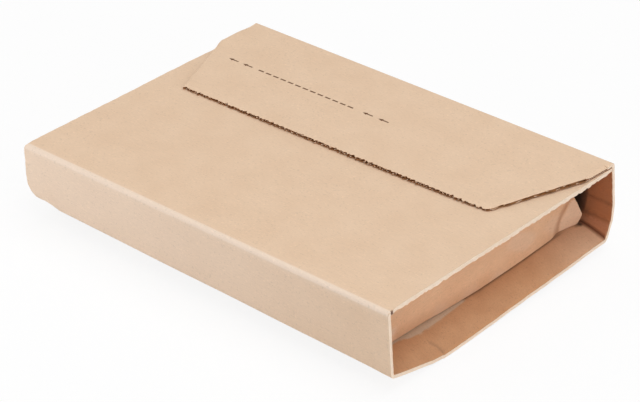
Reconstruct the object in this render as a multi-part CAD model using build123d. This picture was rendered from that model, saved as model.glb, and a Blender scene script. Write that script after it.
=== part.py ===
from build123d import *
import math
import os

# A wraparound mailer of brown single-wall corrugated board, folded shut and empty.
# One sheet wraps round as bottom, front wall, top panel, back wall and closing flap.
# A second sheet is glued inside it: its two ends fold up as end walls and tuck in
# under the top panel, and the wrap stands out past them to guard the corners.
# Millimetres, +Z up. X runs along the folds, the front wall faces -Y, and the closing
# flap folds over from the back wall at +Y. The two end lips stand on Z = 0.

# Wrap: overall sizes
wrap_length = 385.0
wrap_depth = 287.7
panel_height = {"left": 59.8, "right": 62.5}
board = 3.0
least_fold_radius = 0.3

# Wrap: the front wall and its folds
front_height = {"left": 58.7, "right": 59.8}
top_crease_in = 9.0
top_crease_radius = 12.0
top_fold_radius = {"left": 5.0, "right": 3.5}
front_lean = {"left": 9.0, "right": 5.0}
front_fold_radius = {"left": 10.5, "right": 5.5}

# Wrap: the back wall, bent at two creases
back_top_in = 4.0
upper_crease_height = 26.6
lower_crease_height = 11.0
lower_crease_in = 1.1
back_crease_radius = 8.0
back_foot_in = 7.0
back_foot_radius = 4.0
top_panel_gap = 0.5

# Wrap: the ends that stand out past the end walls
end_recess = 26.0
lip_droop = 13.0
lip_low_at = 75.0
lip_back_share = 0.42
lip_curve = 1.2
lip_hold = 45.0
lip_points = 8
end_lean = {"left": 1.0, "right": 5.0}
end_fold_radius = {"left": 40.0, "right": 5.0}
end_foot_in = 8.6
end_steps = 3
end_curve = 1.6

# Cradle: the inner sheet
cradle_front_gap = 0.5
cradle_back_gap = 7.0
cradle_top_gap = 0.3
cradle_fold_radius = 4.0
tuck_length = 72.0
tuck_corner = 18.0

# Closing flap
flap_gap = 0.6
fold_lift = 1.0
hinge_gap = 0.3
flap_fold_radius = 2.6
flap_reach = {"left": 131.0, "right": 123.5}
flap_tip = {"left": 35.0, "right": 33.0}
flap_shoulder = {"left": 51.5, "right": 37.0}
shoulder_in = {"left": 0.5, "right": 2.0}
tip_radius = {"left": 3.0, "right": 6.0}

# Open flutes along the flap's cut edges
flute_pitch = 6.3
flute_depth = 9.0
liner = 0.3
flute_foot = 4.9
flute_crest = 1.1

# Seal and tear tape under the flap
seal_line = 106.0
seal_width = 12.0
seal_thickness = 0.15
seal_end = 8.0
liner_overlap = 3.0
liner_thickness = 0.10
tape_line = 66.2
tape_width = 4.0
tape_thickness = 0.12
tape_end = 2.0

# Places worked out from the sizes above
half_length = wrap_length / 2
half_depth = wrap_depth / 2
underside = lip_droop
bottom_inside = underside + board
back_top = half_depth - back_top_in
back_foot = half_depth - back_foot_in
upper_crease = underside + upper_crease_height
lower_crease = underside + lower_crease_height
end_wall = half_length - end_recess
panel_middle = underside + (panel_height["left"] + panel_height["right"]) / 2
panel_slope = (panel_height["right"] - panel_height["left"]) / wrap_length
wall_above_panel = flap_gap + fold_lift - hinge_gap
sign = {"left": -1, "right": 1}

# The top panel is higher on the right, and the flap on it rises a little from its free edge to its fold.
# What lies on the panel is made level, with Z = 0 at the flap's underside, and then set in place
on_panel = Pos(0, 0, panel_middle) * Rot(0, -math.degrees(math.atan(panel_slope)), 0)
reach = max(flap_reach.values())
free_edge = Pos(0, back_top - reach, 0)
tip_up = free_edge * Rot(math.degrees(math.asin(fold_lift / reach)), 0, 0) * free_edge.inverse()
under_flap = on_panel * Pos(0, 0, flap_gap) * tip_up


# The top panel's height above Z = 0 at an X
def panel_at(x):
    return panel_middle + panel_slope * x


# A size that runs evenly from its left value to its right one between the end walls
def between(sides, x):
    share = min(max((x + end_wall) / (2 * end_wall), 0), 1)
    return sides["left"] + (sides["right"] - sides["left"]) * share


# The outline of a bent sheet, from its outer corner points and the radius at each
def rounded_run(points, radii):
    edges = []
    start = points[0]
    for before, corner, after, radius in zip(points, points[1:], points[2:], radii):
        stop = corner
        if radius > 0:
            to_before = (before - corner).normalized()
            to_after = (after - corner).normalized()
            half_angle = math.radians(to_before.get_angle(to_after) / 2)
            run = radius / math.tan(half_angle)
            middle = corner + (to_before + to_after).normalized() * radius * (1 / math.sin(half_angle) - 1)
            stop = corner + to_before * run
        edges.append(Line(start, stop))
        start = stop
        if radius > 0:
            start = corner + to_after * run
            edges.append(ThreePointArc(stop, middle, start))
    edges.append(Line(start, points[-1]))
    return edges


# The same corner points moved to the left of the path by the board's thickness
def inner_points(points, thickness):
    normals = []
    for start, stop in zip(points, points[1:]):
        along = (stop - start).normalized()
        normals.append(Vector(-along.Y, along.X))
    moved = [points[0] + normals[0] * thickness]
    for corner, before, after in zip(points[1:], normals, normals[1:]):
        moved.append(corner + (before + after) * (thickness / (1 + before.dot(after))))
    moved.append(points[-1] + normals[-1] * thickness)
    return moved


def bent_sheet(points, radii, thickness):
    points = [Vector(*point) for point in points]
    inside = inner_points(points, thickness)
    inner_radii = [max(radius - thickness, least_fold_radius) if radius else 0 for radius in radii]
    outer = rounded_run(points, radii)
    inner = rounded_run(inside, inner_radii)
    ends = [Line(points[-1], inside[-1]), Line(points[0], inside[0])]
    return make_face(outer + inner + ends)


# By what share of its droop the lip hangs, at a distance behind the front wall's foot
def lip_share(distance, run):
    if distance < lip_low_at:
        return math.sin(math.pi / 2 * (distance / lip_low_at) ** lip_curve)
    return 1 - (1 - lip_back_share) * ((distance - lip_low_at) / (run - lip_low_at)) ** lip_curve


# The wrap's section at an X, in Y and Z. The end share is 0 at the end walls and 1 at the free edge
def wrap_section(x, end_share):
    side = "left" if x < 0 else "right"
    lean = between(front_lean, x)
    lean += (end_lean[side] - lean) * end_share
    radius = between(front_fold_radius, x)
    radius += (end_fold_radius[side] - radius) * end_share
    foot_in = back_foot_in + (end_foot_in - back_foot_in) * end_share
    droop = lip_droop * end_share ** end_curve
    front_foot = -half_depth + lean
    run = half_depth - foot_in - front_foot
    fold_height = underside + between(front_height, x)
    wall_top = panel_at(x) + wall_above_panel
    wall_top_y = half_depth - back_top_in * (wall_top - upper_crease) / (panel_middle - upper_crease)
    points = [(back_top - board - top_panel_gap, panel_at(x)), (-half_depth + top_crease_in, panel_at(x))]
    points += [(-half_depth, fold_height), (front_foot, underside)]
    for number in range(lip_points):
        distance = lip_hold + (run - lip_hold) * number / lip_points
        points.append((front_foot + distance, underside - droop * lip_share(distance, run)))
    points += [(half_depth - foot_in, underside - droop * lip_back_share)]
    points += [(half_depth - lower_crease_in, lower_crease), (half_depth, upper_crease)]
    points += [(wall_top_y, wall_top)]
    radii = [top_crease_radius, between(top_fold_radius, x), radius] + [0] * lip_points
    radii += [back_foot_radius, back_crease_radius, back_crease_radius]
    return Plane.YZ.offset(x) * bent_sheet(points, radii, board)


# One end of the wrap: the lip hangs more and more towards its free edge
def wrap_end(side):
    shares = [step / end_steps for step in range(end_steps + 1)]
    sections = [wrap_section(sign[side] * (end_wall + end_recess * share), share) for share in shares]
    return loft(sections, ruled=True)


# Between the end walls the bottom and the back wall are straight, and the rest changes from left to right
def wrap_middle():
    left = wrap_section(-end_wall, 0)
    right = wrap_section(end_wall, 0)
    changing = loft([left, right], ruled=True)
    straight = extrude(right, amount=-2 * end_wall)
    split = -half_depth + max(front_lean.values()) + 2 * max(front_fold_radius.values())
    gap_middle = back_top - board - top_panel_gap / 2
    bottom = Pos(0, split + wrap_depth, 0) * Box(2 * wrap_length, 2 * wrap_depth, 2 * upper_crease)
    back = Pos(0, gap_middle + wrap_depth, 0) * Box(2 * wrap_length, 2 * wrap_depth, 4 * panel_middle)
    above = on_panel * Pos(0, 0, wall_above_panel + panel_middle) * Box(
        2 * wrap_length, 2 * wrap_depth, 2 * panel_middle)
    return (changing - bottom - back) + ((straight & (bottom + back)) - above)


def outer_wrap():
    return wrap_end("left") + wrap_middle() + wrap_end("right")


# The inner sheet: base, two end walls and the two tucks under the top panel
def inner_cradle():
    front = -half_depth + max(front_lean.values()) + max(front_fold_radius.values()) + cradle_front_gap
    back = back_foot - board - cradle_back_gap
    below = board + cradle_top_gap
    tuck_end = end_wall - tuck_length
    points = [(x, panel_at(x) - below) for x in (-tuck_end, -end_wall)]
    points += [(-end_wall, bottom_inside), (end_wall, bottom_inside)]
    points += [(x, panel_at(x) - below) for x in (end_wall, tuck_end)]
    section = Plane.XZ.offset(-back) * bent_sheet(points, [cradle_fold_radius] * 4, board)
    cradle = extrude(section, amount=back - front)
    corners = [
        edge for edge in cradle.edges() if edge.length < 2 * board and abs(edge.center().X) < tuck_end + board]
    return chamfer(corners, tuck_corner)


# The flap's corner points on one side: fold end, shoulder and tip
def flap_side(side):
    shoulder_x = half_length - shoulder_in[side]
    tip_x = half_length - flap_tip[side]
    return {
        "fold": Vector(sign[side] * half_length, back_top),
        "shoulder": Vector(sign[side] * shoulder_x, back_top - flap_shoulder[side]),
        "tip": Vector(sign[side] * tip_x, back_top - flap_reach[side])}


# Y of the flap's cut edge at an X, on the free edge or on one of the tapers
def cut_edge_y(x):
    left = flap_side("left")
    right = flap_side("right")
    line = [left["shoulder"], left["tip"], right["tip"], right["shoulder"]]
    for start, stop in zip(line, line[1:]):
        if start.X <= x <= stop.X:
            return start.Y + (stop.Y - start.Y) * (x - start.X) / (stop.X - start.X)
    return back_top - min(flap_shoulder.values())


# The open ends of the flutes: the arch between each liner and the wavy sheet, by turns
def flute_ends():
    first = -half_length + shoulder_in["left"] + flute_pitch
    count = int((wrap_length - sum(shoulder_in.values()) - 2 * flute_pitch) / (flute_pitch / 2))
    arches = []
    for number in range(count + 1):
        x = first + number * flute_pitch / 2
        up = number % 2 == 0
        foot = liner if up else board - liner
        crest = board - 2 * liner if up else 2 * liner
        reach = [cut_edge_y(x - flute_foot / 2), cut_edge_y(x), cut_edge_y(x + flute_foot / 2)]
        start = min(reach) - board
        points = [(x - flute_foot / 2, foot), (x - flute_crest / 2, crest)]
        points += [(x + flute_crest / 2, crest), (x + flute_foot / 2, foot)]
        face = make_face(Polyline(*[(px, start, pz) for px, pz in points], close=True))
        arches.append(extrude(face, amount=reach[1] + flute_depth - start, dir=(0, 1, 0)))
    return arches


def closing_flap():
    left = flap_side("left")
    right = flap_side("right")
    points = [left["fold"], left["shoulder"], left["tip"], right["tip"], right["shoulder"], right["fold"]]
    outline = make_face(Polyline(*points, close=True))
    for side, corner in (("left", left), ("right", right)):
        tip = outline.vertices().sort_by_distance(corner["tip"])[0]
        outline = fillet(tip, tip_radius[side])
    flap = extrude(outline, amount=board)
    fold_edge = flap.edges().filter_by(Axis.X).sort_by_distance((0, back_top, board))[0]
    return fillet(fold_edge, flap_fold_radius) - flute_ends()


# A thin strip along X under the flap, its ends held in from the flap's tapers
def under_strip(line, width, thickness, level, end_gap):
    nearest = back_top - line - width / 2
    ends = []
    for side in ("left", "right"):
        corner = flap_side(side)
        slope = (corner["shoulder"].X - corner["tip"].X) / (corner["shoulder"].Y - corner["tip"].Y)
        ends.append(corner["tip"].X + slope * (nearest - corner["tip"].Y) - sign[side] * end_gap)
    middle = Pos((ends[0] + ends[1]) / 2, back_top - line, level - thickness / 2)
    return middle * Box(ends[1] - ends[0], width, thickness)


liner_width = seal_width + 2 * liner_overlap
parts = {
    "outer_wrap": outer_wrap(),
    "inner_cradle": inner_cradle(),
    "closing_flap": under_flap * closing_flap(),
    "seal_strip": under_flap * under_strip(seal_line, seal_width, seal_thickness, 0, seal_end),
    "release_liner": under_flap * under_strip(
        seal_line, liner_width, liner_thickness, -seal_thickness, seal_end - liner_overlap),
    "tear_tape": under_flap * under_strip(tape_line, tape_width, tape_thickness, 0, tape_end)}
hinge = (under_flap * Pos(0, back_top, board)).position

os.makedirs("parts", exist_ok=True)
for name, shape in parts.items():
    export_step(shape, f"parts/{name}.step")
    box = shape.bounding_box()
    print(f"{name}: {len(shape.solids())} solid, {shape.volume / 1000:.1f} cm3")
    print(f"  X {box.min.X:.1f} to {box.max.X:.1f}, Y {box.min.Y:.1f} to {box.max.Y:.1f},"
          f" Z {box.min.Z:.1f} to {box.max.Z:.1f}")
print(f"flap hinge line at Y {hinge.Y:.2f}, Z {hinge.Z:.2f}")
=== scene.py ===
# Wraparound mailer of brown corrugated board: folded sheets, open flutes, kraft finishes, light and camera
import math

import bpy
import bmesh
from mathutils import Matrix, Vector, noise


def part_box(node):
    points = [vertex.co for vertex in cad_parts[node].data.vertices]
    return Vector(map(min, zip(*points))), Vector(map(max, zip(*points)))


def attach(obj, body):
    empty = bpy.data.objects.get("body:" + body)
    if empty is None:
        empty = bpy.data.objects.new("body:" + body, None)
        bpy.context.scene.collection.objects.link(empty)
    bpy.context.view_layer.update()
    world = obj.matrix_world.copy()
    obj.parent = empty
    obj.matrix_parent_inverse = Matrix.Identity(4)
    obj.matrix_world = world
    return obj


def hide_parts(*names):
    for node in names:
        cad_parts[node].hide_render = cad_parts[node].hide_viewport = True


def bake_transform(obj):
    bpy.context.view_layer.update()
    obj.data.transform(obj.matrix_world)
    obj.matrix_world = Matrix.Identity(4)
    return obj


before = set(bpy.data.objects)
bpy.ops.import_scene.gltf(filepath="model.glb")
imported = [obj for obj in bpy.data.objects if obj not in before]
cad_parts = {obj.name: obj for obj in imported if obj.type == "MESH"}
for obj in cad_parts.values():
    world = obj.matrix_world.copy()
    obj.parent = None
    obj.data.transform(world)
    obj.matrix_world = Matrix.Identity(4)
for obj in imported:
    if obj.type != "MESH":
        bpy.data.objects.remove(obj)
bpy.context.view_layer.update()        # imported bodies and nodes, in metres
mm = 0.001

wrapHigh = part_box("outer_wrap")[1] / mm
halfLength = wrapHigh.x
halfDepth = wrapHigh.y

board = {  # single-wall corrugated board, in millimetres
    "thickness": 3.0,
    "liner": 0.36,          # the paper skin on each side
    "medium": 0.28,         # the wavy paper between the skins
    "pitch": 6.3,           # from one flute to the next
    "edgeSink": 0.15,       # how far the middle of a cut edge is crushed in
    "leastRadius": 0.3,
}

wrap = {  # the outer sheet; pairs are left and right
    "panelHeight": (59.8, 62.5), "frontHeight": (58.7, 59.8),
    "topCreaseIn": 9.0, "topCreaseRadius": 12.0, "topFoldRadius": (2.5, 3.0),
    "frontLean": (9.0, 5.0), "frontFoldRadius": (10.5, 5.5),
    "backTopIn": 4.0, "upperCrease": 26.6, "lowerCrease": 11.0, "lowerCreaseIn": 1.1, "creaseRadius": 8.0,
    "backFootIn": 7.0, "backFootRadius": 4.0, "panelGap": 0.5,
    "endRecess": 26.0, "lipDroop": 13.0, "lipLowAt": 75.0, "lipBackShare": 0.42,
    "lipCurve": 1.2, "lipHold": 45.0,
    "endLean": (1.0, 5.0), "endFoldRadius": (40.0, 5.0), "endFootIn": 8.6, "endCurve": 1.6,
    # steps along the straight runs: panel, bevel, front wall, bottom's front; the lip; the back wall
    "frontFills": [120, 8, 14, 8], "lipFills": [7] * 4 + [2] * 22, "backFills": [4, 5, 12],
    # sections at each end and between them, and further ones beside the right end wall
    "endSteps": 16, "middleSteps": 56, "footRows": (-4.2, -2.5, -1.0, 0.8, 2.4, 4.0),
    # the board's unevenness and the length of its waves: all over, near the ends and at the cut
    "wave": 0.22, "waveLength": 70.0, "endWave": 0.35, "endWaveLength": 18.0,
    "nick": 0.3, "nickLength": 5.0, "nickRun": 4.0,
    # the top panel's inner liner flares at its cut ends
    "flare": 0.9, "flareNick": 1.7, "flareLength": 2.8, "flareRun": 2.5,
    "flareAbove": 45.0, "flareSide": 12.0,
    # the crease pressed into the right lip, as places along x and y
    "lipCrease": ((181.0, -78.6), (185.4, -75.6), (190.7, -74.6), (193.0, -74.6)),
    "lipCreaseDepth": 0.5, "lipCreaseWidth": 2.6,
    # where the right end wall stands on the bottom, as places along y and x
    "footLine": ((-140, 164.4), (-105, 164.5), (-65, 165.2), (-48, 166.6), (-1, 168.4), (52, 167.7),
                 (100, 165.8), (145, 165.6)),
}

endWall = halfLength - wrap["endRecess"]
underside = wrap["lipDroop"]
backTop = halfDepth - wrap["backTopIn"]
panelMiddle = underside + sum(wrap["panelHeight"]) / 2
panelSlope = (wrap["panelHeight"][1] - wrap["panelHeight"][0]) / (2 * halfLength)
upperCrease = underside + wrap["upperCrease"]


def panelAt(x):  # height of the top panel, which rises to the right
    return panelMiddle + panelSlope * x


def mix(low, high, share):  # low at share 0, high at 1
    return low + (high - low) * share


def between(pair, x):  # from the left value to the right one between the end walls
    return mix(*pair, min(max((x + endWall) / (2 * endWall), 0), 1))


def smooth(low, high, value):  # 0 below low, 1 above high
    share = min(max((value - low) / (high - low), 0), 1)
    return share * share * (3 - 2 * share)


def placesAlong(runs):  # equal steps along each run, given as start, stop and number of steps
    places = [start + (stop - start) * step / steps for start, stop, steps in runs for step in range(steps)]
    return places + [runs[-1][1]]


# Mesh helpers

weldGap = 0.004     # points closer than this, in millimetres, are one


def addObject(name, data):
    made = bpy.data.objects.new(name, data)
    bpy.context.scene.collection.objects.link(made)
    return made


def movedIn(corners, thickness):  # the same corners moved to the left of the path
    normals = []
    for start, stop in zip(corners, corners[1:]):
        along = (stop - start).normalized()
        normals.append(Vector((-along.y, along.x)))
    moved = [corners[0] + normals[0] * thickness]
    for corner, before, after in zip(corners[1:], normals, normals[1:]):
        moved.append(corner + (before + after) * (thickness / (1 + before.dot(after))))
    moved.append(corners[-1] + normals[-1] * thickness)
    return moved


def roundedLine(corners, radii, fills, arcSteps):  # bends as arcs, straight runs in equal steps
    line = []
    start = corners[0]
    for before, corner, after, radius, fill in zip(corners, corners[1:], corners[2:], radii, fills):
        stop, arc = corner, []
        if radius > 0:
            toBefore, toAfter = (before - corner).normalized(), (after - corner).normalized()
            halfAngle = toBefore.angle(toAfter) / 2
            centre = corner + (toBefore + toAfter).normalized() * radius / math.sin(halfAngle)
            first = corner + toBefore * radius / math.tan(halfAngle) - centre
            last = corner + toAfter * radius / math.tan(halfAngle) - centre
            turns = [first.slerp(last, step / arcSteps).normalized() for step in range(arcSteps + 1)]
            arc = [centre + turn * radius for turn in turns]
            stop = arc[0]
        line += [start.lerp(stop, step / fill) for step in range(fill)]
        if arc:
            line += arc[:-1]
        start = arc[-1] if arc else corner
    line += [start.lerp(corners[-1], step / fills[-1]) for step in range(fills[-1] + 1)]
    return line


def bentSheet(corners, radii, fills, arcSteps=6):  # outer and inner line of a folded board
    corners = [Vector(corner) for corner in corners]
    thickness = board["thickness"]
    innerRadii = [max(radius - thickness, board["leastRadius"]) if radius else 0 for radius in radii]
    outer = roundedLine(corners, radii, fills, arcSteps)
    inner = roundedLine(movedIn(corners, thickness), innerRadii, fills, arcSteps)
    return outer, inner


class MeshDraft:  # points in millimetres, faces with a material number, shades as pale, red, dark and grey
    def __init__(self):
        self.points = []
        self.faces = []
        self.skins = []
        self.shades = []

    def addGrid(self, rows, skin, flip=False, shades=None):  # shades: rows of them, or a function of a point
        first = len(self.points)
        width = len(rows[0])
        if callable(shades):
            shades = [[shades(point) for point in row] for row in rows]
        for number, row in enumerate(rows):
            self.points += row
            self.shades += shades[number] if shades else [(0, 0, 0, 0)] * width
        for i in range(len(rows) - 1):
            for j in range(width - 1):
                a = first + i * width + j
                face = (a, a + 1, a + width + 1, a + width)
                self.faces.append(face[::-1] if flip else face)
                self.skins.append(skin(i, j) if callable(skin) else skin)

    def addCutEdge(self, outer, inner, inward, flip=False, shades=None):
        skin = board["liner"] / board["thickness"]  # two skins and the crushed middle between them
        sink = board["edgeSink"]
        last = len(outer) - 1
        levels = [(0, 0), (skin, 0), (skin, sink), (1 - skin, sink), (1 - skin, 0), (1, 0)]
        for steps in zip(levels, levels[1:]):
            rows = []
            for level, depth in steps:
                rows.append([
                    a.lerp(b, level) + way * (depth if 0 < number < last else 0)
                    for number, (a, b, way) in enumerate(zip(outer, inner, inward))])
            self.addGrid(rows, 2, flip, shades)

    def makeObject(self, name, materials, angle=38):
        mesh = bpy.data.meshes.new(name)
        mesh.from_pydata([point * mm for point in self.points], [], self.faces)
        for material in materials:
            mesh.materials.append(material)
        mesh.polygons.foreach_set("material_index", self.skins)
        shade = mesh.attributes.new("shade", "FLOAT_COLOR", "POINT")
        shade.data.foreach_set("color", [part for values in self.shades for part in values])
        draft = bmesh.new()
        draft.from_mesh(mesh)
        bmesh.ops.remove_doubles(draft, verts=draft.verts, dist=weldGap * mm)
        bmesh.ops.dissolve_degenerate(draft, edges=draft.edges, dist=weldGap / 2 * mm)
        bmesh.ops.recalc_face_normals(draft, faces=draft.faces)
        draft.to_mesh(mesh)
        draft.free()
        mesh.shade_smooth()
        mesh.set_sharp_from_angle(angle=math.radians(angle))
        return addObject(name, mesh)


def boardSheet(name, sections, materials, shades=(None, None, None)):  # a closed board with its cut edges
    draft = MeshDraft()
    outer, inner = [list(rows) for rows in zip(*sections)]
    draft.addGrid(outer, 0, shades=shades[0])
    draft.addGrid(inner, 1, True, shades[1])
    sides = [(0, 1, True), (-1, -2, False)]
    for edge, beside, flip in sides:
        inward = [(b - a).normalized() for a, b in zip(outer[edge], outer[beside])]
        draft.addCutEdge(outer[edge], inner[edge], inward, flip, shades[2])
    for edge, beside, flip in sides:
        rim, rimInner = [row[edge] for row in outer], [row[edge] for row in inner]
        inward = [(row[beside] - row[edge]).normalized() for row in outer]
        draft.addCutEdge(rim, rimInner, inward, not flip)
    return draft.makeObject(name, materials)


# Materials


def linearColour(code):  # sRGB hex to linear
    channels = [int(code[start:start + 2], 16) / 255 for start in (1, 3, 5)]
    return (*[c / 12.92 if c <= 0.04045 else ((c + 0.055) / 1.055) ** 2.4 for c in channels], 1)


def addNode(tree, kind, values=None, links=None, **settings):
    made = tree.nodes.new(kind)
    for name, value in settings.items():
        setattr(made, name, value)
    for socket, value in (values or {}).items():
        made.inputs[socket].default_value = value
    for socket, source in (links or {}).items():
        tree.links.new(source, made.inputs[socket])
    return made


def newMaterial(name, ior):  # with its tree and its shader
    material = bpy.data.materials.new(name)
    material.use_nodes = True
    shader = material.node_tree.nodes["Principled BSDF"]
    shader.inputs["IOR"].default_value = ior
    return material, material.node_tree, shader


def cloudedColour(tree, source, look):  # the look's dark and light colours, mixed by a noise
    mixed = addNode(tree, "ShaderNodeMix", links={"Factor": source.outputs["Fac"]}, data_type="RGBA")
    mixed.inputs[6].default_value = linearColour(look["dark"])
    mixed.inputs[7].default_value = linearColour(look["light"])
    return mixed


def varyRoughness(tree, source, look, spread, shader):
    roughness = addNode(
        tree, "ShaderNodeMapRange",
        {"To Min": look["roughness"] - spread, "To Max": look["roughness"] + spread},
        {"Value": source.outputs["Fac"]})
    tree.links.new(roughness.outputs[0], shader.inputs["Roughness"])


# the shade channels: pale is mostly painted highlight and painted light, with paler patches at random; red
# and dark are painted shade in creases, folds, corners and recesses; grey is a grey band along the end wall's
# foot
shadeColours = ("#EED8C4", "#A65B31", "#241812", "#CDB8A0")
kraftIor = 1.47


def kraftPaper(name, look):  # clouded pulp, fibres along one way, specks and the faint ridges of the flutes
    material, tree, shader = newMaterial(name, kraftIor)
    place = addNode(tree, "ShaderNodeTexCoord").outputs["Object"]
    cloud = addNode(
        tree, "ShaderNodeTexNoise", {"Scale": 1 / (look["cloud"] * mm), "Detail": 3.0}, {"Vector": place})
    grainSize = Vector((look["fibreLength"], look["fibreWidth"], look["fibreWidth"]))
    if look["grain"] == "Y":
        grainSize = grainSize.yxz
    stretched = addNode(
        tree, "ShaderNodeMapping", {"Scale": [1 / (size * mm) for size in grainSize]}, {"Vector": place})
    fibre = addNode(
        tree, "ShaderNodeTexNoise", {"Scale": 1.0, "Detail": 2.0, "Roughness": 0.6},
        {"Vector": stretched.outputs["Vector"]})
    speck = addNode(
        tree, "ShaderNodeTexNoise", {"Scale": 1 / (look["speck"] * mm), "Detail": 0.0}, {"Vector": place})
    shades = cloudedColour(tree, cloud, look)
    # painted light and shade: the shade attribute mixes these colours into the paper's own
    shade = addNode(tree, "ShaderNodeAttribute", attribute_name="shade")
    parts = addNode(tree, "ShaderNodeSeparateColor", links={0: shade.outputs["Color"]})
    for amount, code in zip([*parts.outputs, shade.outputs["Alpha"]], shadeColours):
        shades = addNode(
            tree, "ShaderNodeMix", links={"Factor": amount, 6: shades.outputs[2]}, data_type="RGBA")
        shades.inputs[7].default_value = linearColour(code)
    strength = None
    tones = [  # noise, its range and the strengths at both ends: fibre ends, flecks and streaks
        (speck, 0.22, 0.28, look["glint"], 1.0),
        (speck, 0.7, 0.78, 1.0, look["fleck"]),
        (fibre, 0.3, 0.7, 1 - look["streak"], 1 + look["streak"]),
    ]
    for source, start, stop, low, high in tones:
        tone = addNode(
            tree, "ShaderNodeMapRange", {"From Min": start, "From Max": stop, "To Min": low, "To Max": high},
            {"Value": source.outputs["Fac"]}).outputs[0]
        if strength:
            product = addNode(tree, "ShaderNodeMath", links={0: tone, 1: strength}, operation="MULTIPLY")
            tone = product.outputs[0]
        strength = tone
    colour = addNode(
        tree, "ShaderNodeVectorMath", links={0: shades.outputs[2], "Scale": strength}, operation="SCALE")
    tree.links.new(colour.outputs[0], shader.inputs["Base Color"])
    varyRoughness(tree, fibre, look, 0.08, shader)
    waveScale = 2 * math.pi / 20 / (board["pitch"] * mm)    # scale 1 gives 20 / (2 pi) bands in a metre
    bands = addNode(
        tree, "ShaderNodeTexWave",
        {"Scale": waveScale, "Distortion": 0.6, "Detail": 1.0, "Detail Scale": 0.6},
        {"Vector": place}, bands_direction=look["grain"])
    ridges = addNode(
        tree, "ShaderNodeMath", {1: look["ridge"]}, {0: bands.outputs["Fac"]}, operation="MULTIPLY")
    height = addNode(
        tree, "ShaderNodeMath", {1: look["tooth"]}, {0: fibre.outputs["Fac"], 2: ridges.outputs[0]},
        operation="MULTIPLY_ADD")
    relief = addNode(tree, "ShaderNodeBump", {"Strength": 1.0, "Distance": mm}, {"Height": height.outputs[0]})
    tree.links.new(relief.outputs["Normal"], shader.inputs["Normal"])
    return material


kraftLooks = {  # sizes in millimetres; ridge and tooth are heights of the relief
    # unbleached kraft liner, calendered: light tan, matt, with long fibres and a few darker specks
    "outer": {
        "light": "#E9CCAF", "dark": "#DFBFA0", "cloud": 26.0, "fibreLength": 5.0, "fibreWidth": 0.9,
        "speck": 1.6, "fleck": 0.9, "glint": 1.07, "streak": 0.035, "roughness": 0.72,
        "ridge": 0.012, "tooth": 0.03, "grain": "X"},
    # the same liner on the side that faces the goods, made redder and darker as painted shade of the inside,
    # slightly furry
    "inner": {
        "light": "#D2A27A", "dark": "#BD8A62", "cloud": 18.0, "fibreLength": 4.0, "fibreWidth": 0.9,
        "speck": 1.4, "fleck": 0.85, "glint": 1.05, "streak": 0.06, "roughness": 0.82,
        "ridge": 0.02, "tooth": 0.05, "grain": "X"},
    # the cradle's outer liner, with its fibres the other way: the outer kraft made pinker and brighter as
    # painted light, since it stands in the shaded end recess
    "endWall": {
        "light": "#EFC39D", "dark": "#E2AE86", "cloud": 22.0, "fibreLength": 5.0, "fibreWidth": 0.9,
        "speck": 1.4, "fleck": 0.88, "glint": 1.07, "streak": 0.05, "roughness": 0.78,
        "ridge": 0.015, "tooth": 0.04, "grain": "Y"},
    # a knife-cut paper edge: torn fibre ends scatter more light, so it is the palest
    "cutEdge": {
        "light": "#FBE9D6", "dark": "#F0D5BA", "cloud": 5.0, "fibreLength": 1.5, "fibreWidth": 0.6,
        "speck": 0.9, "fleck": 0.85, "glint": 1.0, "streak": 0.06, "roughness": 0.88,
        "ridge": 0.0, "tooth": 0.06, "grain": "X"},
    # semichemical corrugating medium: duller and browner than the liners, and darker as painted shade so the
    # open flutes look deep; the flap's liner faces inside the flutes and its cut edges get it too
    "medium": {
        "light": "#C08B5C", "dark": "#946239", "cloud": 4.0, "fibreLength": 1.5, "fibreWidth": 0.6,
        "speck": 0.8, "fleck": 1.25, "glint": 1.1, "streak": 0.1, "roughness": 0.9,
        "ridge": 0.0, "tooth": 0.06, "grain": "X"},
}

kraftOuter = kraftPaper("kraftLinerCalendered", kraftLooks["outer"])
kraftInner = kraftPaper("kraftLinerInsideShaded", kraftLooks["inner"])
kraftEnd = kraftPaper("kraftLinerCradle", kraftLooks["endWall"])
cutEdge = kraftPaper("boardEdgeKnifeCut", kraftLooks["cutEdge"])
flutingAndShade = kraftPaper("flutingSemichemicalAndPaintedShade", kraftLooks["medium"])


def plainFinish(name, look):  # thin films, papers and ink: one colour broken by a fine noise
    material, tree, shader = newMaterial(name, look["ior"])
    place = addNode(tree, "ShaderNodeTexCoord").outputs["Object"]
    grain = addNode(
        tree, "ShaderNodeTexNoise", {"Scale": 1 / (look["grain"] * mm), "Detail": 3.0}, {"Vector": place})
    tree.links.new(cloudedColour(tree, grain, look).outputs[2], shader.inputs["Base Color"])
    varyRoughness(tree, grain, look, 0.1, shader)
    return material


plainLooks = {
    # hot-melt adhesive, slot coated: cream and half glossy
    "adhesive": {"light": "#E9E0C0", "dark": "#D9CCA6", "grain": 2.5, "roughness": 0.35, "ior": 1.5},
    # glassine, silicone coated: near white, smooth, a little sheen
    "glassine": {"light": "#F1ECE2", "dark": "#E3DCCE", "grain": 6.0, "roughness": 0.4, "ior": 1.48},
    # polypropylene film, extruded and drawn: red and glossy
    "film": {"light": "#D43A2C", "dark": "#B92C22", "grain": 8.0, "roughness": 0.28, "ior": 1.49},
    # flexographic ink on kraft: thin brown-black, broken where the paper takes less
    "ink": {"light": "#7D5234", "dark": "#422813", "grain": 0.9, "roughness": 0.85, "ior": 1.45},
}
adhesive = plainFinish("hotMeltAdhesive", plainLooks["adhesive"])
glassine = plainFinish("releaseGlassine", plainLooks["glassine"])
film = plainFinish("tearTapePolypropylene", plainLooks["film"])
ink = plainFinish("flexoInk", plainLooks["ink"])
print("materials made")


# Outer wrap: panel, front wall, bottom and back wall, drooping at both ends


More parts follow.
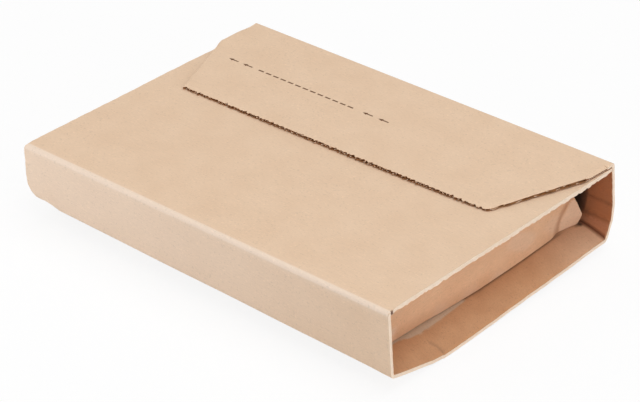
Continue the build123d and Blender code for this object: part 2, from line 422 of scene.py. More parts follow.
def lipShare(distance, run):  # share of the full droop, by distance from the front wall's foot
    if distance < wrap["lipLowAt"]:
        return math.sin(math.pi / 2 * (distance / wrap["lipLowAt"]) ** wrap["lipCurve"])
    past = (distance - wrap["lipLowAt"]) / (run - wrap["lipLowAt"])
    return 1 - (1 - wrap["lipBackShare"]) * past ** wrap["lipCurve"]


def endShare(x):  # 0 between the end walls, 1 at the cut ends
    return min(max((abs(x) - endWall) / wrap["endRecess"], 0), 1)


def droopAt(x):  # how far the lip hangs down where it is lowest
    return wrap["lipDroop"] * endShare(x) ** wrap["endCurve"]


def backWallY(z):  # the back wall above its upper crease leans in
    return halfDepth - wrap["backTopIn"] * (z - upperCrease) / (panelMiddle - upperCrease)


foldBand = {  # the bend from the back wall into the flap
    "down": 8.0, "forward": 9.0, "radius": 3.4, "fills": [3, 3], "steps": 7, "columns": 120, "pressFrom": 2,
    # from the hinge to where the turn starts in the back wall and ends in the flap, along y and z
    "turnStart": (2.2, -6.4), "turnEnd": (-7.4, 1.5),
}
flap = {  # the closing flap; pairs are left and right
    "gap": 0.6, "foldLift": 1.0, "reach": (128.8, 123.5), "tip": (31.5, 33.0), "shoulder": (51.5, 37.0),
    "shoulderIn": (0.5, 2.0), "tipRadius": (3.0, 10.0), "bow": 1.3, "sideWidth": 0.8,
    # columns in a flute, rows from the cut edge in millimetres, and number of rows on to the bend
    "stepsPerFlute": 8, "nearRows": (0, 0.8, 1.8, 3.0, 4.5, 6.5), "farRows": 8,
    # how far the die cut has pressed the edge down, by place along x
    "crush": ((-193, 1.2), (-158, 0.8), (-60, 0.4), (0, 0.1), (90, 0.0), (125, 0.4), (152, 1.4), (166, 1.0),
              (180, 0.2), (193, 0.0)),
    "crushReach": 5.0, "sag": 0.2, "sideCrush": (0.6, 1.8), "sideBehind": 7.0, "besideShare": 0.4,
    # the left side stands up a little between its shoulder and the bend
    "curl": 1.3, "curlWidth": 22.0, "curlFrom": (80.0, 94.0), "curlTo": (110.0, 131.0),
    # the torn cut wanders this far, and more finely by a share of that
    "torn": 2.0, "tornLength": 2.7, "tornFine": 0.4, "fineLength": 1.3,
    # how far the lower liner and the medium stand back, and the medium's tufts
    "linerBack": 0.2, "mediumBack": (0.0, 2.6), "tuftLength": 1.7, "tuftRange": 0.2,
    # specks of torn fibre, which start at a lower noise on the right taper
    "speckLength": 1.1, "speckFrom": (0.02, 0.0), "speckRange": 0.12, "speckThick": 3.2,
    # painted shade on the right taper's cut edge, and a painted shadow along the side edges where they meet
    # the panel
    "taperDark": 0.3, "taperRun": 8, "sideShade": (0, 0.5, 0.4, 0), "sideInset": 0.35,
}
flapReach = max(flap["reach"])
foldTopRise = flap["gap"] + flap["foldLift"] + board["thickness"]  # from the panel to the flap's top


def wrapLines(x):  # outer and inner line of the wrap's section at x
    side = 0 if x < 0 else 1
    past, droop = endShare(x), droopAt(x)
    radius = mix(between(wrap["frontFoldRadius"], x), wrap["endFoldRadius"][side], past)
    footIn = mix(wrap["backFootIn"], wrap["endFootIn"], past)
    frontFoot = -halfDepth + mix(between(wrap["frontLean"], x), wrap["endLean"][side], past)
    run = halfDepth - footIn - frontFoot
    wallTop = panelAt(x) + foldTopRise - foldBand["down"]
    lipPoints = len(wrap["lipFills"])
    corners = [
        (backTop - board["thickness"] - wrap["panelGap"], panelAt(x)),
        (-halfDepth + wrap["topCreaseIn"], panelAt(x)),
        (-halfDepth, underside + between(wrap["frontHeight"], x)),
        (frontFoot, underside)]
    for number in range(lipPoints):
        distance = wrap["lipHold"] + (run - wrap["lipHold"]) * number / lipPoints
        corners.append((frontFoot + distance, underside - droop * lipShare(distance, run)))
    corners += [
        (halfDepth - footIn, underside - droop * wrap["lipBackShare"]),
        (halfDepth - wrap["lowerCreaseIn"], underside + wrap["lowerCrease"]),
        (halfDepth, upperCrease),
        (backWallY(wallTop), wallTop)]
    radii = [wrap["topCreaseRadius"], between(wrap["topFoldRadius"], x), radius] + [0] * lipPoints
    radii += [wrap["backFootRadius"], wrap["creaseRadius"], wrap["creaseRadius"]]
    return bentSheet(corners, radii, wrap["frontFills"] + wrap["lipFills"] + wrap["backFills"])


def sheetWave(point, size, length):  # a slow unevenness, the same on both sides of the board
    return size * noise.noise(point / length)


def toLine(place, corners):  # distance from a place to a line through the corners
    least = math.inf
    for start, stop in zip(corners, corners[1:]):
        start, along = Vector(start), Vector(stop) - Vector(start)
        share = min(max((place - start).dot(along) / along.length_squared, 0), 1)
        least = min(least, (place - start - along * share).length)
    return least


def alongLine(place, corners):  # value at a place on a line of pairs, or nothing beyond its ends
    for (start, low), (stop, high) in zip(corners, corners[1:]):
        if start <= place <= stop:
            return low + (high - low) * (place - start) / (stop - start)
    return None


def lipCrease(point):  # 1 along the short crease pressed into the right lip near its front
    if point.z > underside + 5 or point.x < wrap["lipCrease"][0][0] - 5:
        return 0
    return smooth(wrap["lipCreaseWidth"], 0, toLine(Vector((point.x, point.y)), wrap["lipCrease"]))


paintedLightAndShade = {  # painted light and shade on the wrap, in millimetres and in shares of a shade
    # painted highlight along the front fold, wider at the left, and the front wall is paler there too, as
    # painted light that fades to the right
    "paleBand": (5.2, 4.0), "bandBlur": 0.6, "highlightBelow": 1.2, "highlightBlur": 2.0,
    "frontPale": (0.66, 0.16), "frontPaleBend": 2.0, "frontPaleAbove": (-1, 4),
    # painted shade: the back wall's inside is redder, and dark in its two creases, which wander a little
    "backRed": 0.7, "creaseDark": 0.28, "creaseHalf": 2.2, "wander": 1.2, "wanderLength": 6.0,
    # painted shade: it is dark where it meets the end wall, up to a line that slopes outwards
    "cornerIn": 1.1, "cornerSlope": 0.105, "cornerFrom": 9, "cornerAbove": (7, 12),
    "cornerDark": 0.62, "innerDark": 0.3, "innerRun": 8, "cornerBlur": (1.2, -0.6),
    # painted shade in the fold along its foot, and the dark spot where that fold meets the end wall
    "foldAt": 0.9, "foldHalf": (1.7, 0.4), "foldRed": 0.9, "foldDark": 0.7,
    "spot": (167.6, 130.6), "spotReach": (4, 1.5), "spotDark": 0.9,
    # the right lip is paler towards the back, and dark in its crease as painted shade
    "lipPale": 0.2, "lipPaleAlong": (40, 120), "lipCreaseDark": 0.24,
    # the outer side of the grey band along the end wall's foot, as places along y and x
    "greyLine": ((-108, 166.0), (-94.6, 166.8), (-91.6, 169.3), (-82, 170.9), (-76, 171.3), (-61, 171.0),
                 (-50, 170.6), (-37, 170.0), (-20, 169.0)),
    "greyShare": 0.95, "greyBlur": 0.8, "greyWander": 0.8, "greyLength": 5.0, "greyInside": (30, 10),
    # painted shade: the dark line at the end wall's foot, which fades towards the back
    "footDark": 0.42, "footWidth": 1.1, "footInside": 30, "footFade": (118, 100),
    # painted shade of two dark pinholes at the folds, at these places along y and z
    "pinholes": ((-139.4, 72.6), (-134.5, 18.4)), "pinholeReach": (2.3, 1.0), "pinholeShade": (0.9, 0.85),
}


def outerShade(point):  # painted highlight: the front fold is palest, and the front wall is paler than the panel, more at the left
    if point.y > 0:
        return (0, 0, 0, 0)
    highlightFrom = underside + between(wrap["frontHeight"], point.x) - paintedLightAndShade["highlightBelow"]
    if point.z > highlightFrom:
        band, blur = between(paintedLightAndShade["paleBand"], point.x), paintedLightAndShade["bandBlur"]
        return (smooth(band + blur, band - blur, point.y + halfDepth), 0, 0, 0)
    pale = mix(*paintedLightAndShade["frontPale"], between((0, 1), point.x) ** paintedLightAndShade["frontPaleBend"])
    pale += (1 - pale) * smooth(highlightFrom - paintedLightAndShade["highlightBlur"], highlightFrom, point.z)
    return (pale * smooth(*paintedLightAndShade["frontPaleAbove"], point.z - underside), 0, 0, 0)


def backWallShade(point, footY, footZ):  # painted shade: red and dark on the inside of the back wall
    red, dark = 0, 0
    above = point.z - underside
    if point.y > footY - 6 and point.z > footZ + 1:
        red = paintedLightAndShade["backRed"]
        wander = paintedLightAndShade["wander"] * noise.noise(point / paintedLightAndShade["wanderLength"])
        for height in (wrap["lowerCrease"], wrap["upperCrease"]):
            crease = smooth(paintedLightAndShade["creaseHalf"], 0, abs(above - height - wander))
            dark = max(dark, paintedLightAndShade["creaseDark"] * crease)
        out = abs(point.x) - endWall + paintedLightAndShade["cornerIn"] - paintedLightAndShade["cornerSlope"] * (above - paintedLightAndShade["cornerFrom"])
        share = paintedLightAndShade["cornerDark"] + paintedLightAndShade["innerDark"] * smooth(0, -paintedLightAndShade["innerRun"], out)
        share *= smooth(*paintedLightAndShade["cornerAbove"], above)
        dark = max(dark, share * smooth(*paintedLightAndShade["cornerBlur"], out))
    if point.y > footY - 3 and point.z < footZ + 5:
        fold = smooth(*paintedLightAndShade["foldHalf"], abs(point.z - footZ - paintedLightAndShade["foldAt"]))
        red, dark = max(red, paintedLightAndShade["foldRed"] * fold), max(dark, paintedLightAndShade["foldDark"] * fold)
    return red, dark


def greyShade(point):  # the grey band on the right lip
    edge = alongLine(point.y, paintedLightAndShade["greyLine"])
    if edge is None:
        return 0
    out = point.x - edge - paintedLightAndShade["greyWander"] * noise.noise(point / paintedLightAndShade["greyLength"])
    share = smooth(paintedLightAndShade["greyBlur"], -paintedLightAndShade["greyBlur"], out)
    start, stop = paintedLightAndShade["greyInside"]
    return paintedLightAndShade["greyShare"] * share * smooth(-start, -stop, point.x - endWall)


def footShade(point):  # painted shade: the dark line at the right end wall's foot
    foot = alongLine(point.y, wrap["footLine"])
    if foot is None:
        return 0
    share = smooth(paintedLightAndShade["footWidth"], 0, point.x - foot) * smooth(-paintedLightAndShade["footInside"], 0, point.x - endWall)
    return paintedLightAndShade["footDark"] * share * smooth(*paintedLightAndShade["footFade"], point.y)


def innerShade(point):  # painted shade: the back wall's inside is the darkest side; the right lip has painted shade in its crease, at a spot and along its foot line, is paler at the back and grey in a band
    footY = halfDepth - wrap["endFootIn"]
    footZ = underside + board["thickness"] - wrap["lipBackShare"] * droopAt(point.x)
    pale, grey = 0, 0
    red, dark = backWallShade(point, footY, footZ)
    if point.z < underside + 9 and point.x > 0:
        away = (Vector((point.x, point.y)) - Vector(paintedLightAndShade["spot"])).length
        spot = paintedLightAndShade["spotDark"] * smooth(*paintedLightAndShade["spotReach"], away)
        dark = max(dark, spot, paintedLightAndShade["lipCreaseDark"] * lipCrease(point))
        pale = paintedLightAndShade["lipPale"] * smooth(*paintedLightAndShade["lipPaleAlong"], point.y) * (1 - dark)
        grey = greyShade(point)
        if point.y < footY:
            dark = max(dark, footShade(point))
    return (pale, red, dark, grey)


def edgeShade(point):  # painted shade of the two pinholes, at the right end only
    dark = 0
    for y, z in paintedLightAndShade["pinholes"]:
        if point.x > 0:
            dark = max(dark, smooth(*paintedLightAndShade["pinholeReach"], math.hypot(point.y - y, point.z - z)))
    red, black = paintedLightAndShade["pinholeShade"]
    return (0, red * dark, black * dark, 0)


def wrapSection(x):  # outer and inner points at x, uneven, and flared at the top panel's cut ends
    rowOut, rowIn = [], []
    nearEnd = smooth(endWall, halfLength, abs(x))
    atEdge = smooth(halfLength - wrap["nickRun"], halfLength, abs(x))
    for a, b in zip(*wrapLines(x)):
        start, stop = Vector((x, *a)), Vector((x, *b))
        away = (start - stop).normalized()
        uneven = sheetWave(start, wrap["wave"], wrap["waveLength"])
        uneven += nearEnd * sheetWave(start + Vector((0, 0, 400)), wrap["endWave"], wrap["endWaveLength"])
        uneven += atEdge * sheetWave(start + Vector((0, 0, 90)), wrap["nick"], wrap["nickLength"])
        pressed = Vector((0, 0, -wrap["lipCreaseDepth"] * lipCrease(stop)))
        flare = 0
        if stop.z > underside + wrap["flareAbove"] and abs(stop.y) < halfDepth - wrap["flareSide"]:
            flare = smooth(halfLength - wrap["flareRun"], halfLength, abs(x))
            flare *= wrap["flare"] + sheetWave(stop, wrap["flareNick"], wrap["flareLength"])
        rowOut.append(start + away * uneven + pressed)
        rowIn.append(stop + away * (uneven - flare) + pressed)
    return rowOut, rowIn


def outerWrapSheet():
    ends, middle = wrap["endSteps"], wrap["middleSteps"]
    runs = [(-halfLength, -endWall, ends), (-endWall, endWall, middle), (endWall, halfLength, ends)]
    stations = sorted(placesAlong(runs) + [endWall + past for past in wrap["footRows"]])
    made = boardSheet(
        "outerWrapSheet", [wrapSection(x) for x in stations], [kraftOuter, kraftInner, cutEdge],
        (outerShade, innerShade, edgeShade))
    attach(made, "wrap")
    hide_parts("outer_wrap")


outerWrapSheet()
print("outer wrap made")


# Inner cradle: base, two end walls and their tucks, bulged and crushed as in the photo

cradle = {
    "topGap": 0.3, "foldRadius": 4.0, "footRadius": 1.8, "tuckLength": 72.0, "tuckCorner": 18.0,
    # steps along the straight runs: tuck, end wall, base, end wall, tuck
    "fills": [14, 16, 40, 34, 14],
    # sections from the front, closer together where the right end wall is crushed
    "steps": 60, "fineFrom": 92.0, "fineSteps": 40,
    # the end walls' bulge: where it starts, and how it fades with height
    "bulgeLeft": 1.2, "bulgeFrom": (-45, -2), "bulgeFade": (15, 55), "bulgeLoss": 0.5,
    # the valley near the right end wall's back, and how it fades with height
    "valleyFoot": 108.5, "valleyLean": 23.0, "valleyHeight": 30.7, "valleyDepth": 2.6, "valleyWidth": 14.0,
    "valleyFade": (44, 26),
    # the facet behind it is bent outwards; shares of that at its back edge, by height
    "facetOut": 3.8, "facetBack": 5.0,
    "facetEdge": ((-20, 0.3), (0, 0.3), (10, 1.0), (24, 0.1), (34, 0.0), (90, 0.0)),
    # the back corner leans in, wrinkles, and the height above which the tucks are cut
    "cornerIn": 2.0, "cornerRun": 18, "cornerFrom": (20, 28), "wrinkle": 0.8, "wrinkleLength": (9, 14),
    "wrinkleFrom": (0, 6), "tuckAbove": 30,
    # colours of the right end wall: paler patches at random, a painted highlight at the front corner and on
    # the facet, and painted shade, redder, at the foot and in the valley
    "patchPale": 0.2, "patchLength": (30, 22), "patchRange": (0.05, 0.4),
    "frontPale": 0.45, "frontPaleFrom": (5, 8), "frontPaleTo": (15, 11), "frontPaleAlong": (-96, -106),
    "facetPale": 0.3, "facetRun": 2.5, "facetFade": (46, 36),
    "footRed": 0.25, "footRedAbove": (14, 3), "footRedFrom": (-118, -95), "footRedTo": (60, -20),
    "valleyRed": 0.34, "valleyDark": 0.05, "redWidth": 8, "redWiden": 0.2, "redBlur": (-6, 7),
}


def cradleSheet():
    low, high = [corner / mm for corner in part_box("inner_cradle")]
    below = board["thickness"] + cradle["topGap"]
    tuckEnd = endWall - cradle["tuckLength"]
    inside = underside + board["thickness"]
    corners = [(-tuckEnd, panelAt(-tuckEnd) - below), (-endWall, panelAt(-endWall) - below)]
    corners += [(-endWall, inside), (endWall, inside)]
    corners += [(endWall, panelAt(endWall) - below), (tuckEnd, panelAt(tuckEnd) - below)]
    top, foot = cradle["foldRadius"], cradle["footRadius"]
    lines = bentSheet(corners, [top, foot, foot, top], cradle["fills"])
    runs = [(low.y, cradle["fineFrom"], cradle["steps"]), (cradle["fineFrom"], high.y, cradle["fineSteps"])]
    sections = []
    for y in placesAlong(runs):
        pairs = [(Vector((a.x, y, a.y)), Vector((b.x, y, b.y))) for a, b in zip(*lines)]
        shifts = [crushed(start, low.y, high.y, inside) for start, stop in pairs]
        sections.append([[point + shift for point, shift in zip(row, shifts)] for row in zip(*pairs)])
    made = boardSheet(
        "innerCradleSheet", sections, [kraftEnd, kraftInner, cutEdge], (cradleShade, None, None))
    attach(made, "wrap")
    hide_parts("inner_cradle")


def valleyAt(height):  # where the right end wall is creased near its back, by height over the foot
    share = min(max(height / cradle["valleyHeight"], 0), 1.2)
    return cradle["valleyFoot"] + cradle["valleyLean"] * share ** 2


def crushed(point, front, back, foot):  # how far the cradle is pushed out of its plain folds
    height = point.z - foot
    reach = smooth(*cradle["bulgeFrom"], abs(point.x) - endWall)
    bulge = reach * (1 - cradle["bulgeLoss"] * smooth(*cradle["bulgeFade"], height))
    if point.x < 0:
        along = (point.y - front) / (back - front)
        shift = Vector((-cradle["bulgeLeft"] * math.sin(math.pi * along) * bulge, 0, 0))
    else:
        shift = Vector(((alongLine(point.y, wrap["footLine"]) - endWall) * bulge, 0, 0))
        if reach > 0.9:
            shift += crushedBack(point.y, height, back)
            along, up = cradle["wrinkleLength"]
            wrinkle = noise.noise(Vector((3, point.y / along, point.z / up)))
            shift.x += cradle["wrinkle"] * wrinkle * smooth(*cradle["wrinkleFrom"], height)
    cut = endWall - cradle["tuckLength"] + cradle["tuckCorner"] - abs(point.x)
    if height > cradle["tuckAbove"] and cut > 0:  # the tucks have slanted corners
        shift.y += ((front + back) / 2 - point.y) * cut / ((back - front) / 2)
    return shift


def crushedBack(y, height, back):  # the valley near the right end wall's back, and the facet behind it
    shift = Vector((0, 0, 0))
    ahead = y - valleyAt(height)
    low = smooth(*cradle["valleyFade"], height)
    if ahead < 0:
        shift.x = -low * cradle["valleyDepth"] * smooth(-cradle["valleyWidth"], 0, ahead)
    else:
        share = ahead / max(back - valleyAt(height), 1)
        bend = alongLine(height, cradle["facetEdge"])
        out = share * (cradle["valleyDepth"] + cradle["facetOut"] * bend)
        shift.x = low * (out - cradle["valleyDepth"])
        shift.y = share * cradle["facetBack"] * bend
    corner = smooth(back - cradle["cornerRun"], back, y) * smooth(*cradle["cornerFrom"], height)
    shift.y -= corner * cradle["cornerIn"]
    return shift


def cradleShade(point):  # paler patches at random on the right end wall, painted highlight on its front corner and facet, and painted shade at its foot and in the valley of its crushed end
    if point.x < endWall - 10:
        return (0, 0, 0, 0)
    height = point.z - underside - board["thickness"]
    ahead = point.y - valleyAt(height)
    low = smooth(*cradle["facetFade"], height)
    along, up = cradle["patchLength"]
    cloud = noise.noise(Vector((9, point.y / along, point.z / up)))
    patch = cradle["patchPale"] * smooth(*cradle["patchRange"], cloud)
    front = cradle["frontPale"] * smooth(*cradle["frontPaleAlong"], point.y)
    front *= smooth(*cradle["frontPaleFrom"], height) * smooth(*cradle["frontPaleTo"], height)
    facet = cradle["facetPale"] * smooth(0, cradle["facetRun"], ahead) * low
    foot = cradle["footRed"] * smooth(*cradle["footRedAbove"], height)
    foot *= smooth(*cradle["footRedFrom"], point.y) * smooth(*cradle["footRedTo"], point.y)
    width = cradle["redWidth"] + cradle["redWiden"] * max(height, 0)
    valley = smooth(*cradle["redBlur"], ahead + width) * smooth(1, -1, ahead) * low
    red = max(foot, cradle["valleyRed"] * valley)
    return (max(patch, front, facet), red, cradle["valleyDark"] * valley, 0)


cradleSheet()
print("inner cradle made")


# Closing flap: two liners with the wavy medium between them, open along its cut edges


def flapCorner(side):  # shoulder and tip
    sign = (-1, 1)[side]
    shoulder = Vector((sign * (halfLength - flap["shoulderIn"][side]), backTop - flap["shoulder"][side]))
    tip = Vector((sign * (halfLength - flap["tip"][side]), backTop - flap["reach"][side]))
    return shoulder, tip


def cutEdgeY(x):  # the free edge, slightly bowed, and the tapers, with rounded tips
    (leftShoulder, leftTip), (rightShoulder, rightTip) = flapCorner(0), flapCorner(1)
    line = [leftShoulder, leftTip, rightTip, rightShoulder]
    values = []
    for start, stop in zip(line, line[1:]):
        values.append(start.y + (stop.y - start.y) * (x - start.x) / (stop.x - start.x))
    share = min(max((x - leftTip.x) / (rightTip.x - leftTip.x), 0), 1)
    y = values[1] - flap["bow"] * 6.75 * share ** 2 * (1 - share)     # 6.75 makes the curve's height 1
    for side in (0, 1):
        radius = flap["tipRadius"][side]
        over = values[2 * side] - y
        y += 0.5 * (over + math.sqrt(over * over + 0.25 * radius * radius))     # the greater, rounded
    return y


def overPanel(x, y, level):  # a place on the flap, level above its underside
    z = panelAt(x) + flap["gap"] + level
    z += flap["foldLift"] * (y - (backTop - flapReach)) / flapReach
    return Vector((x, y, z))


def flapEnd(x):  # where the flap meets the bend
    return backWallY(panelAt(x) + foldTopRise) - foldBand["forward"]


def flapSideX(side, y):  # the flap's side edge, from its shoulder to the fold
    shoulder = flapCorner(side)[0]
    return mix(shoulder.x, (-1, 1)[side] * halfLength, (y - shoulder.y) / (backTop - shoulder.y))


def fluteWave(x):  # from -1 to 1 along the flutes' waves
    return math.sin(2 * math.pi * x / board["pitch"])


def flapColumns():
    step = board["pitch"] / flap["stepsPerFlute"]
    left, right = flapCorner(0)[0].x, flapCorner(1)[0].x
    return placesAlong([(left, right, int((right - left) / step))])


def flapRows(x, back):  # places from the cut edge to the bend, close together near the edge
    torn = flap["torn"] * noise.noise(Vector((x / flap["tornLength"], 0, 7)))
    torn += flap["tornFine"] * flap["torn"] * noise.noise(Vector((x / flap["fineLength"], 5, 7)))
    start = cutEdgeY(x) + back + torn
    near = [start + step for step in flap["nearRows"]]
    gap = (flapEnd(x) - near[-1]) / flap["farRows"]
    return near + [near[-1] + gap * (number + 1) for number in range(flap["farRows"])]


def curlAt(x, y):  # how far the left side stands up
    curl = smooth(-halfLength + flap["curlWidth"], -halfLength, x)
    return flap["curl"] * curl * smooth(*flap["curlFrom"], y) * (1 - smooth(*flap["curlTo"], y))


def closingFlapBoard():
    draft = MeshDraft()
    columns = flapColumns()
    last = len(columns) - 1
    thickness, liner, medium = board["thickness"], board["liner"], board["medium"]
    swing = (thickness - 2 * liner - medium) / 2
    rightTip = flapCorner(1)[1].x
    beside = flap["besideShare"]
    sideDrops = {0: (0, 1.0), 1: (0, beside), last - 1: (1, beside), last: (1, 1.0)}  # side and share

    def layer(levelOf, backOf):  # one side of a paper, pressed down along the cut and the flap's sides
        rows = []
        for number, x in enumerate(columns):
            edge = cutEdgeY(x)
            dip = alongLine(x, flap["crush"]) + flap["sag"] * (0.5 - 0.5 * fluteWave(x))
            row = []
            for y in flapRows(x, backOf(x)):
                drop = dip * smooth(flap["crushReach"], 0, y - edge)
                place = x
                if number in sideDrops:
                    side, share = sideDrops[number]
                    behind = smooth(0, flap["sideBehind"], y - edge)
                    drop = max(drop, share * flap["sideCrush"][side] * behind)
                    place = flapSideX(side, y) if number in (0, last) else x
                row.append(overPanel(place, y, levelOf(x) * (1 - drop / thickness) + curlAt(x, y)))
            rows.append(row)
        return rows

    def speckAt(x):  # 1 where torn fibres stick out of the cut, more often on the right taper
        least = flap["speckFrom"][0 if x < rightTip else 1]
        torn = noise.noise(Vector((x / flap["speckLength"], 8, 2)))
        return smooth(least, least + flap["speckRange"], torn)

    def wave(x, offset):
        level = thickness / 2 + swing * fluteWave(x) + offset * (1 + flap["speckThick"] * speckAt(x))
        return min(max(level, liner), thickness - liner)

    def mediumBack(x):
        most, tuft = flap["tuftRange"], noise.noise(Vector((x / flap["tuftLength"], 3, 1)))
        return (1 - speckAt(x)) * mix(*flap["mediumBack"], smooth(-most, most, tuft))

    def mediumSkin(i, j):
        return 2 if speckAt(columns[i]) > 0.5 else 3

    # the medium's darker paper, as painted shade, also covers the liners' faces inside the flutes and their
    # cut edges
    papers = [  # top, underside, how far it stands back, and materials of top, underside and cut edge
        (lambda x: thickness, lambda x: thickness - liner, lambda x: 0, 0, 3, 3),
        (lambda x: wave(x, medium / 2), lambda x: wave(x, -medium / 2), mediumBack, 3, 3, mediumSkin),
        (lambda x: liner, lambda x: 0.0, lambda x: flap["linerBack"], 3, 1, 3),
    ]
    # painted shade on the right taper's cut edge, less where fibres stick out
    taper = [flap["taperDark"] * smooth(rightTip, rightTip + flap["taperRun"], x) for x in columns]
    shades = [[(0, 0, dark * (1 - speckAt(x)), 0)] * 2 for x, dark in zip(columns, taper)]
    kept = []
    for top, bottom, back, topSkin, bottomSkin, edgeSkin in papers:
        upper, lower = layer(top, back), layer(bottom, back)
        kept.append((upper, lower))
        draft.addGrid(upper, topSkin)
        draft.addGrid(lower, bottomSkin, True)
        draft.addGrid([[over[0], under[0]] for over, under in zip(upper, lower)], edgeSkin, shades=shades)
        draft.addGrid([[row[-1] for row in upper], [row[-1] for row in lower]], 2, True)
        for edge in (0, -1):
            draft.addGrid([upper[edge], lower[edge]], 0 if topSkin == 0 else 2, edge == 0)
    for edge in (0, -1):  # the side edges run along the flutes, so they show closed board, with a painted shadow where they meet the panel
        inset = Vector((flap["sideInset"] if edge == 0 else -flap["sideInset"], 0, 0))
        rows = [[point + inset for point in row] for row in (kept[0][1][edge], kept[2][0][edge])]
        draft.addGrid(rows, 3, edge == 0, [[flap["sideShade"]] * len(rows[0])] * 2)
    made = draft.makeObject("closingFlapBoard", [kraftOuter, kraftInner, cutEdge, flutingAndShade])
    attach(made, "flap")
    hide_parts("closing_flap")


closingFlapBoard()
print("closing flap made")


def foldStrip():  # the bend that joins the back wall and the flap
    sections = []
    places = placesAlong([(-halfLength, halfLength, foldBand["columns"])])
    places += [-halfLength + flap["sideWidth"], halfLength - flap["sideWidth"]]
    drop = flap["foldLift"] * foldBand["forward"] / flapReach
    for x in sorted(places):
        share = smooth(halfLength - 2 * flap["sideWidth"], halfLength, abs(x))
        crush = share * flap["sideCrush"][0 if x < 0 else 1]
        top = panelAt(x) + foldTopRise
        low, back = top - foldBand["down"], backWallY(top)
        corners = [(backWallY(low), low), (back, top), (flapEnd(x), top - drop)]
        outerLine, innerLine = bentSheet(corners, [foldBand["radius"]], foldBand["fills"], foldBand["steps"])
        pressed = [crush * smooth(foldBand["pressFrom"], foldBand["forward"], back - p.x) for p in outerLine]
        rowOut = [Vector((x, p.x, p.y - down)) for p, down in zip(outerLine, pressed)]
        sections.append((rowOut, [Vector((x, *p)) for p in innerLine]))
    made = boardSheet("flapFoldBend", sections, [kraftOuter, kraftInner, cutEdge])
    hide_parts("closing_flap")
    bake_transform(made)


foldStrip()
print("fold made")


# Print on the flap: arrows along the tear line and a row of dashes between them

tearPrint = {
    "line": 67.0,           # distance from the back wall's top
    "arrows": (-165.3, -149.2, -14.9, 1.9), "arrowLength": 10.8, "headLength": 4.6, "headWidth": 3.6,
    "shaftWidth": 1.3, "dashesFrom": -131.0, "dashesTo": -23.0, "dashes": 13, "dashShare": 0.7,
    "dashWidth": 1.6, "above": 0.03,
}


def tearLinePrint():
    draft = MeshDraft()
    level = board["thickness"] + tearPrint["above"]
    y = backTop - tearPrint["line"]

    def patch(corners):
        first = len(draft.points)
        for x, dy in corners:
            draft.points.append(overPanel(x, y + dy, level))
        draft.faces.append(tuple(range(first, first + len(corners))))
        draft.skins.append(0)

    for tip in tearPrint["arrows"]:
        neck, tail = tip + tearPrint["headLength"], tip + tearPrint["arrowLength"]
        half, thin = tearPrint["headWidth"] / 2, tearPrint["shaftWidth"] / 2
        patch([(tip, 0), (neck, -half), (neck, half)])
        patch([(neck, -thin), (tail, -thin), (tail, thin), (neck, thin)])
    pitch = (tearPrint["dashesTo"] - tearPrint["dashesFrom"]) / tearPrint["dashes"]
    half = tearPrint["dashWidth"] / 2
    for number in range(tearPrint["dashes"]):
        start = tearPrint["dashesFrom"] + pitch * number
        stop = start + pitch * tearPrint["dashShare"]
        patch([(start, -half), (stop, -half), (stop, half), (start, half)])
    made = draft.makeObject("tearLineArrows", [ink])
    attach(made, "flap")


tearLinePrint()

for nodeName, finish in (("seal_strip", adhesive), ("release_liner", glassine), ("tear_tape", film)):
    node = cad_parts[nodeName]
    node.data.materials.clear()
    node.data.materials.append(finish)
print("print and strips made")


# Camera

camera = {  # where the photograph was taken from, worked out from the mailer's corners
    "azimuth": 40.92, "elevation": 30.57, "roll": 0.16, "distance": 2147.16, "right": 3.78, "up": 14.05,
    "target": (0.0, -3.85, 16.3), "lens": 147.69, "sensor": 36, "clip": 100,
}


def addCamera():
    azimuth, elevation = math.radians(camera["azimuth"]), math.radians(camera["elevation"])
    level = math.cos(elevation)
    back = Vector((math.sin(azimuth) * level, -math.cos(azimuth) * level, math.sin(elevation)))
    right = Vector((math.cos(azimuth), math.sin(azimuth), 0))
    right = Matrix.Rotation(math.radians(camera["roll"]), 3, back) @ right
    up = back.cross(right)
    data = bpy.data.cameras.new("camera")
    data.lens = camera["lens"]
    data.sensor_width = camera["sensor"]
    data.clip_end = camera["clip"]
    made = addObject("camera", data)
    spot = Vector(camera["target"]) + back * camera["distance"] + right * camera["right"] + up * camera["up"]
    made.matrix_world = Matrix.Translation(spot * mm) @ Matrix((right, up, back)).transposed().to_4x4()
    bpy.context.scene.camera = made


addCamera()


# Studio: pale floor, white surroundings and soft lamps

studio = {
    "floorSize": 8.0, "floorDrop": 0.0004, "floorColour": "#FAFAFA", "floorRoughness": 0.9, "floorIor": 1.5,
    "floorWhite": 0.88,     # share of plain white that the camera sees in the floor
    "world": 0.3,           # strength of the surroundings
    "lamps": [  # name, place, size, power
        ("topLamp", (0.4, 0.3, 3.2), 2.5, 46.0),
        ("backLamp", (-2.0, 1.2, 2.5), 2.0, 6.0),
        ("rightLamp", (1.8, -1.2, 2.8), 1.8, 19.0),
        ("sideLamp", (2.8, -0.6, 1.2), 1.6, 15.5),
        ("frontLamp", (-0.75, -0.8, 0.2), 0.5, 2.8),
    ],
}


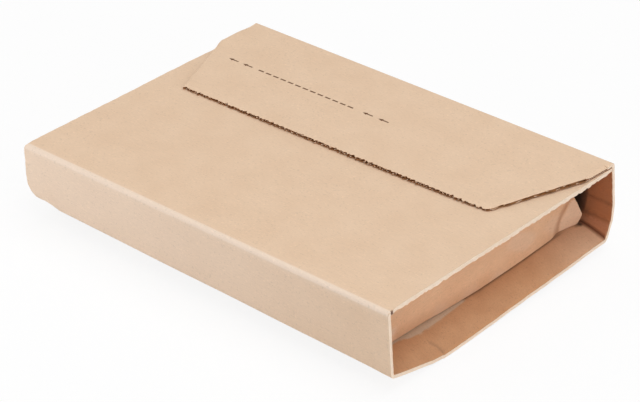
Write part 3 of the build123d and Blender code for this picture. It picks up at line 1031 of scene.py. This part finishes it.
def addFloor():
    size = studio["floorSize"] / 2
    mesh = bpy.data.meshes.new("studioFloor")
    corners = [(-size, -size, 0), (size, -size, 0), (size, size, 0), (-size, size, 0)]
    mesh.from_pydata(corners, [], [(0, 1, 2, 3)])
    material, tree, shader = newMaterial("paperSweep", studio["floorIor"])
    shader.inputs["Base Color"].default_value = linearColour(studio["floorColour"])
    shader.inputs["Roughness"].default_value = studio["floorRoughness"]
    white = addNode(tree, "ShaderNodeEmission", {"Color": (1, 1, 1, 1), "Strength": 1.0})
    path = addNode(tree, "ShaderNodeLightPath")
    share = addNode(
        tree, "ShaderNodeMath", {1: studio["floorWhite"]}, {0: path.outputs["Is Camera Ray"]},
        operation="MULTIPLY")
    mixed = addNode(
        tree, "ShaderNodeMixShader", links={0: share.outputs[0], 1: shader.outputs[0], 2: white.outputs[0]})
    tree.links.new(mixed.outputs[0], tree.nodes["Material Output"].inputs["Surface"])
    mesh.materials.append(material)
    made = addObject("studioFloor", mesh)
    made.location.z = -studio["floorDrop"]


def addWorld():
    world = bpy.data.worlds.new("studioWhite")
    world.use_nodes = True
    tree = world.node_tree
    light = tree.nodes["Background"]
    light.inputs["Color"].default_value = (1, 1, 1, 1)
    light.inputs["Strength"].default_value = studio["world"]
    seen = addNode(tree, "ShaderNodeBackground", {"Color": (1, 1, 1, 1), "Strength": 1.0})
    path = addNode(tree, "ShaderNodeLightPath")
    either = addNode(
        tree, "ShaderNodeMath", links={0: path.outputs["Is Camera Ray"], 1: path.outputs["Is Glossy Ray"]},
        operation="MAXIMUM")
    mixed = addNode(
        tree, "ShaderNodeMixShader", links={0: either.outputs[0], 1: light.outputs[0], 2: seen.outputs[0]})
    tree.links.new(mixed.outputs[0], tree.nodes["World Output"].inputs["Surface"])
    bpy.context.scene.world = world


def addLamps():
    for name, place, size, power in studio["lamps"]:
        data = bpy.data.lights.new(name, "AREA")
        data.shape = "DISK"
        data.size = size
        data.energy = power
        made = addObject(name, data)
        made.location = place
        made.rotation_euler = (-Vector(place)).to_track_quat("-Z", "Y").to_euler()


addFloor()
addWorld()
addLamps()
bpy.context.scene.view_settings.view_transform = "Standard"
print("camera and studio made")
